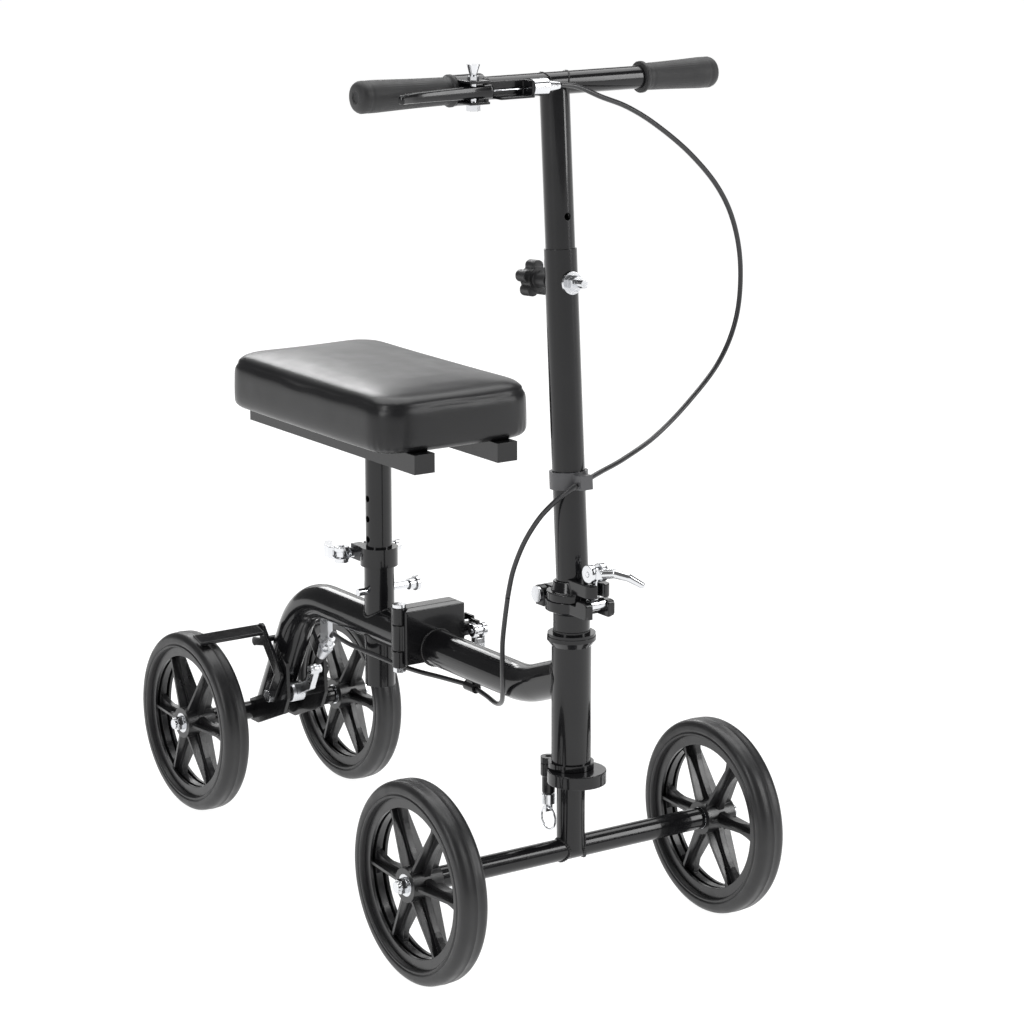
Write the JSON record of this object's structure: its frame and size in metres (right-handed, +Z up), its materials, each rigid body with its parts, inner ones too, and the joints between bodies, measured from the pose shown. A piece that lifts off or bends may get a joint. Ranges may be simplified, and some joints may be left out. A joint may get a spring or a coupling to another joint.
{
  "type": "knee scooter",
  "caption": "Folding steerable knee scooter: padded knee rest on a height-adjustable post, hinged tube frame, folding column with handlebar, hand lever and rear tyre brake.",
  "frame": {"origin": "on the ground under the middle of the wheelbase, on the frame's centre plane", "axes": "+X forward, +Y to the rider's left, +Z up"},
  "size_m": [0.784, 0.4475, 0.8758],
  "materials": {
    "frame_black": "gloss black powder coat",
    "tyre": "gloss solid polyurethane",
    "rim": "moulded nylon",
    "chrome": "bright plated",
    "alloy": "satin cast",
    "grip": "ribbed rubber",
    "vinyl": "satin black vinyl",
    "board": "plywood",
    "knob": "moulded",
    "cable": "black cable housing",
    "clamp": "grey band"
  },
  "bodies": {
    "rear_frame": {"rear_tube": "frame_black", "seat_socket": "frame_black", "rear_hinge_plate": "frame_black", "frame_bolts": "chrome", "rear_axle_beam": "frame_black", "rear_axle_bolts": "chrome", "rear_bearings": "chrome", "brake_bracket": "frame_black", "brake_adjuster": "alloy", "seat_collar": "frame_black", "cable_rear": "cable"},
    "seat_lever": {"seat_clamp_lever": "chrome"},
    "seat_pin": {"seat_height_pin": "chrome"},
    "seat": {"seat_post": "frame_black", "seat_bracket": "frame_black", "pad_board": "board", "knee_pad": "vinyl"},
    "rear_right_wheel": {"rear_right_tyre": "tyre", "rear_right_rim": "rim"},
    "rear_left_wheel": {"rear_left_tyre": "tyre", "rear_left_rim": "rim"},
    "rear_brake": {"brake_arms": "frame_black", "brake_bolts": "chrome", "brake_actuator": "alloy"},
    "front_frame": {"front_tube": "frame_black", "head_tube": "frame_black", "front_hinge_plate": "frame_black", "headset_cups": "frame_black", "cable_clip": "frame_black", "cable_lower": "cable", "latch_bolt": "chrome"},
    "frame_latch_lever": {"latch_lever": "chrome"},
    "fork": {"fork_stem": "frame_black", "front_axle_beam": "frame_black", "lock_plate": "frame_black", "fold_yoke": "frame_black", "fold_pin": "chrome", "front_axle_bolts": "chrome", "front_bearings": "chrome"},
    "front_right_wheel": {"front_right_tyre": "tyre", "front_right_rim": "rim"},
    "front_left_wheel": {"front_left_tyre": "tyre", "front_left_rim": "rim"},
    "column": {"column_tube": "frame_black", "fold_saddle": "frame_black", "cable_clamp": "clamp", "column_bolt": "chrome", "cable_upper": "cable", "cable_middle": "cable"},
    "column_latch": {"swing_bolt": "chrome"},
    "column_latch_lever": {"column_lever": "chrome"},
    "clamp_knob": {"star_knob": "knob"},
    "handle": {"handlebar": "frame_black", "hand_grips": "grip", "lever_bracket": "frame_black", "lever_bolt": "chrome", "cable_ferrule": "chrome"},
    "hand_lever": {"brake_lever": "frame_black"},
    "lock_pin": {"steering_lock_pin": "chrome"},
    "lock_ring": {"pull_ring": "chrome"}
  },
  "joints": [
    {"name": "frame_fold", "type": "hinge", "parent": "rear_frame", "child": "front_frame", "pos_m": [0.039, -0.038, 0.263], "axis": [0, 0, 1], "range_deg": [-85, 0], "deforming": ["cable_rear"]},
    {"name": "steering", "type": "hinge", "parent": "front_frame", "child": "fork", "pos_m": [0.292, 0, 0.25], "axis": [0, 0, 1], "range_deg": [-35, 35], "deforming": ["cable_lower"]},
    {"name": "column_fold", "type": "hinge", "parent": "fork", "child": "column", "pos_m": [0.264, 0, 0.356], "axis": [0, -1, 0], "range_deg": [0, 34], "deforming": ["cable_middle"]},
    {"name": "column_latch_swing", "type": "hinge", "parent": "column", "child": "column_latch", "pos_m": [0.331, 0, 0.388], "axis": [0, -1, 0], "range_deg": [0, 60]},
    {"name": "column_latch_lever", "type": "hinge", "parent": "column_latch", "child": "column_latch_lever", "pos_m": [0.331, 0, 0.388], "axis": [0, -1, 0], "range_deg": [0, 80]},
    {"name": "clamp_knob_turn", "type": "hinge", "parent": "column", "child": "clamp_knob", "pos_m": [0.27309, 0, 0.66225], "axis": [0.9976, 0, 0.0698], "continuous": true},
    {"name": "handle_height", "type": "slide", "parent": "column", "child": "handle", "axis": [-0.0698, 0, 0.9976], "range_m": [-0.025, 0.1], "deforming": ["cable_upper"]},
    {"name": "brake_lever_squeeze", "type": "hinge", "parent": "handle", "child": "hand_lever", "pos_m": [0.28297, -0.107, 0.84979], "axis": [0, 0, -1], "range_deg": [0, 8], "stiffness_Nm_per_rad": 3},
    {"name": "rear_brake_turn", "type": "hinge", "parent": "rear_frame", "child": "rear_brake", "pos_m": [-0.24, 0, 0.13], "axis": [0, -1, 0], "range_deg": [0, 3.8]},
    {"name": "seat_height", "type": "slide", "parent": "rear_frame", "child": "seat", "axis": [0, 0, -1], "range_m": [-0.07, 0.02]},
    {"name": "seat_lever_turn", "type": "hinge", "parent": "rear_frame", "child": "seat_lever", "pos_m": [-0.087, -0.0296, 0.324], "axis": [0, 0, 1], "range_deg": [0, 90]},
    {"name": "seat_pin_pull", "type": "slide", "parent": "rear_frame", "child": "seat_pin", "axis": [0, 1, 0], "range_m": [0, 0.04], "stiffness_N_per_m": 150},
    {"name": "frame_latch_lever", "type": "hinge", "parent": "front_frame", "child": "frame_latch_lever", "pos_m": [0.0609, 0.045, 0.263], "axis": [0, -1, 0], "range_deg": [0, 90]},
    {"name": "lock_pin_pull", "type": "slide", "parent": "fork", "child": "lock_pin", "axis": [0, 0, 1], "range_m": [-0.006, 0], "stiffness_N_per_m": 400},
    {"name": "lock_ring_swing", "type": "hinge", "parent": "lock_pin", "child": "lock_ring", "pos_m": [0.26807, -0.01016, 0.1377], "axis": [1, 0, 0], "range_deg": [-60, 0]},
    {"name": "rear_right_wheel_spin", "type": "hinge", "parent": "rear_frame", "child": "rear_right_wheel", "pos_m": [-0.292, -0.0985, 0.1], "axis": [0, 1, 0], "continuous": true},
    {"name": "rear_left_wheel_spin", "type": "hinge", "parent": "rear_frame", "child": "rear_left_wheel", "pos_m": [-0.292, 0.0985, 0.1], "axis": [0, 1, 0], "continuous": true},
    {"name": "front_right_wheel_spin", "type": "hinge", "parent": "fork", "child": "front_right_wheel", "pos_m": [0.292, -0.183, 0.1], "axis": [0, 1, 0], "continuous": true},
    {"name": "front_left_wheel_spin", "type": "hinge", "parent": "fork", "child": "front_left_wheel", "pos_m": [0.292, 0.183, 0.1], "axis": [0, 1, 0], "continuous": true}
  ],
  "couplings": [
    {"joint": "rear_brake_turn", "follows": "brake_lever_squeeze", "ratio": 0.475}
  ]
}
